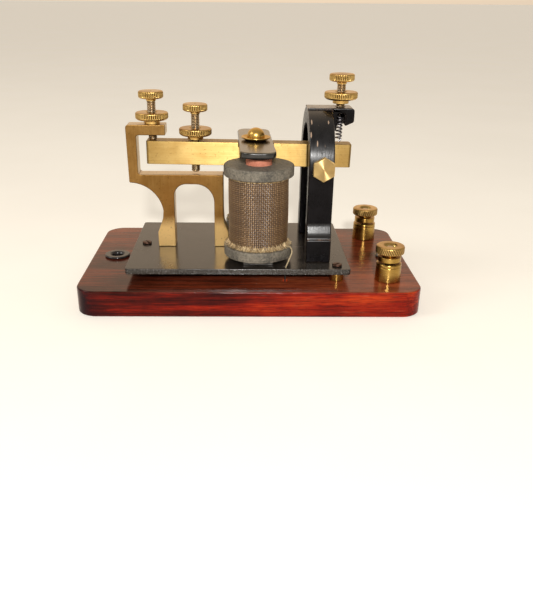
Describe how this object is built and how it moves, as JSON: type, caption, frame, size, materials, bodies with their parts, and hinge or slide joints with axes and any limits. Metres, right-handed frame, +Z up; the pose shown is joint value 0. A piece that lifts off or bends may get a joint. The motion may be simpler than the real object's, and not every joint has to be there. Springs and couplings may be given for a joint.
{
  "type": "telegraph sounder",
  "caption": "Telegraph sounder: a paired-coil electromagnet pulls a sprung brass lever between stop screws on an anvil frame, on a wooden base.",
  "frame": {"origin": "centre of the wooden base's underside", "axes": "+X along the base, from the anvil end towards the binding posts; +Y to the rear; +Z up"},
  "size_m": [0.17, 0.104, 0.1079],
  "materials": {
    "mahogany": "varnished",
    "black_eyelet": "gloss",
    "black_plate": "satin",
    "turned_brass": "satin",
    "bright_brass": "brushed",
    "cast_brass": "brushed",
    "dark_brass": "satin",
    "black_japan": "gloss",
    "bronzed_screw": "satin",
    "steel": "satin",
    "soft_iron": "satin",
    "armature_steel": "satin",
    "red_fibre": "satin",
    "black_fibre": "satin",
    "cloth_winding": "matt",
    "cloth_wire": "matt"
  },
  "bodies": {
    "base": {"wooden_base": "mahogany", "mounting_eyelets": "black_eyelet", "sub_base_plate": "black_plate", "plate_spacers": "turned_brass", "plate_screws": "bronzed_screw", "anvil_frame": "cast_brass", "anvil_screws": "steel", "standard": "black_japan", "standard_screws": "steel", "front_pivot_screw": "bright_brass", "rear_pivot_screw": "bright_brass", "heel_bar": "soft_iron", "core_screws": "steel", "front_core": "soft_iron", "rear_core": "soft_iron", "front_sleeve": "red_fibre", "rear_sleeve": "red_fibre", "front_lower_flange": "black_fibre", "front_upper_flange": "black_fibre", "rear_lower_flange": "black_fibre", "rear_upper_flange": "black_fibre", "front_winding": "cloth_winding", "rear_winding": "cloth_winding", "coil_jumper": "cloth_wire", "front_lead_wire": "cloth_wire", "rear_lead_wire": "cloth_wire", "return_spring": "steel", "front_post_body": "turned_brass", "rear_post_body": "turned_brass", "front_post_stud": "dark_brass", "rear_post_stud": "dark_brass", "post_base_nuts": "dark_brass"},
    "lever": {"lever": "bright_brass", "pivot_arbor": "steel", "armature": "armature_steel", "armature_washer": "turned_brass", "armature_screw": "bright_brass"},
    "up_stop_rod": {"up_stop_shank": "dark_brass"},
    "up_stop_thumb": {"up_stop_head": "turned_brass"},
    "up_stop_nut": {"up_stop_lock_nut": "turned_brass"},
    "down_stop_rod": {"down_stop_shank": "dark_brass"},
    "down_stop_thumb": {"down_stop_head": "turned_brass"},
    "down_stop_nut": {"down_stop_lock_nut": "turned_brass"},
    "tension_rod": {"tension_shank": "dark_brass"},
    "tension_thumb": {"tension_head": "turned_brass"},
    "tension_nut": {"tension_lock_nut": "turned_brass"},
    "front_clamp": {"front_post_washer": "turned_brass"},
    "front_thumb": {"front_thumb_nut": "turned_brass"},
    "rear_clamp": {"rear_post_washer": "turned_brass"},
    "rear_thumb": {"rear_thumb_nut": "turned_brass"}
  },
  "joints": [
    {"name": "lever_pivot", "type": "hinge", "parent": "base", "child": "lever", "pos_m": [0.0356, 0, 0.067], "axis": [0, -1, 0], "range_deg": [0, 0.88], "stiffness_Nm_per_rad": 0.15, "springref_deg": -28.65},
    {"name": "up_stop_travel", "type": "slide", "parent": "base", "child": "up_stop_rod", "axis": [0, 0, 1], "range_m": [0, 0.002]},
    {"name": "up_stop_turn", "type": "hinge", "parent": "up_stop_rod", "child": "up_stop_thumb", "pos_m": [-0.0491, 0, 0.09], "axis": [0, 0, 1], "range_deg": [0, 900]},
    {"name": "up_stop_nut_turn", "type": "hinge", "parent": "base", "child": "up_stop_nut", "pos_m": [-0.0491, 0, 0.09], "axis": [0, 0, 1], "range_deg": [0, 90]},
    {"name": "down_stop_travel", "type": "slide", "parent": "lever", "child": "down_stop_rod", "axis": [0.0124, 0, 0.9999], "range_m": [0, 0.002]},
    {"name": "down_stop_turn", "type": "hinge", "parent": "down_stop_rod", "child": "down_stop_thumb", "pos_m": [-0.0276, 0, 0.06778], "axis": [0.0124, 0, 0.9999], "range_deg": [0, 900]},
    {"name": "down_stop_nut_turn", "type": "hinge", "parent": "lever", "child": "down_stop_nut", "pos_m": [-0.0276, 0, 0.06778], "axis": [0.0124, 0, 0.9999], "range_deg": [0, 90]},
    {"name": "tension_travel", "type": "slide", "parent": "base", "child": "tension_rod", "axis": [0, 0, 1], "range_m": [-0.002, 0], "deforming": ["return_spring"]},
    {"name": "tension_turn", "type": "hinge", "parent": "tension_rod", "child": "tension_thumb", "pos_m": [0.0454, 0, 0.1], "axis": [0, 0, 1], "range_deg": [-900, 0]},
    {"name": "tension_nut_turn", "type": "hinge", "parent": "base", "child": "tension_nut", "pos_m": [0.0454, 0, 0.1], "axis": [0, 0, 1], "range_deg": [0, 90]},
    {"name": "front_clamp_lift", "type": "slide", "parent": "base", "child": "front_clamp", "axis": [0, 0, 1], "range_m": [0, 0.0024]},
    {"name": "front_thumb_turn", "type": "hinge", "parent": "front_clamp", "child": "front_thumb", "pos_m": [0.0699, -0.0342, 0.028], "axis": [0, 0, 1], "range_deg": [0, 1080]},
    {"name": "rear_clamp_lift", "type": "slide", "parent": "base", "child": "rear_clamp", "axis": [0, 0, 1], "range_m": [0, 0.0024]},
    {"name": "rear_thumb_turn", "type": "hinge", "parent": "rear_clamp", "child": "rear_thumb", "pos_m": [0.0683, 0.0342, 0.028], "axis": [0, 0, 1], "range_deg": [0, 1080]}
  ],
  "couplings": [
    {"joint": "up_stop_travel", "follows": "up_stop_turn", "m_per_rad": 0.00012633},
    {"joint": "down_stop_travel", "follows": "down_stop_turn", "m_per_rad": 0.00012633},
    {"joint": "tension_travel", "follows": "tension_turn", "m_per_rad": 0.00012633},
    {"joint": "front_clamp_lift", "follows": "front_thumb_turn", "m_per_rad": 0.00012633},
    {"joint": "rear_clamp_lift", "follows": "rear_thumb_turn", "m_per_rad": 0.00012633}
  ]
}
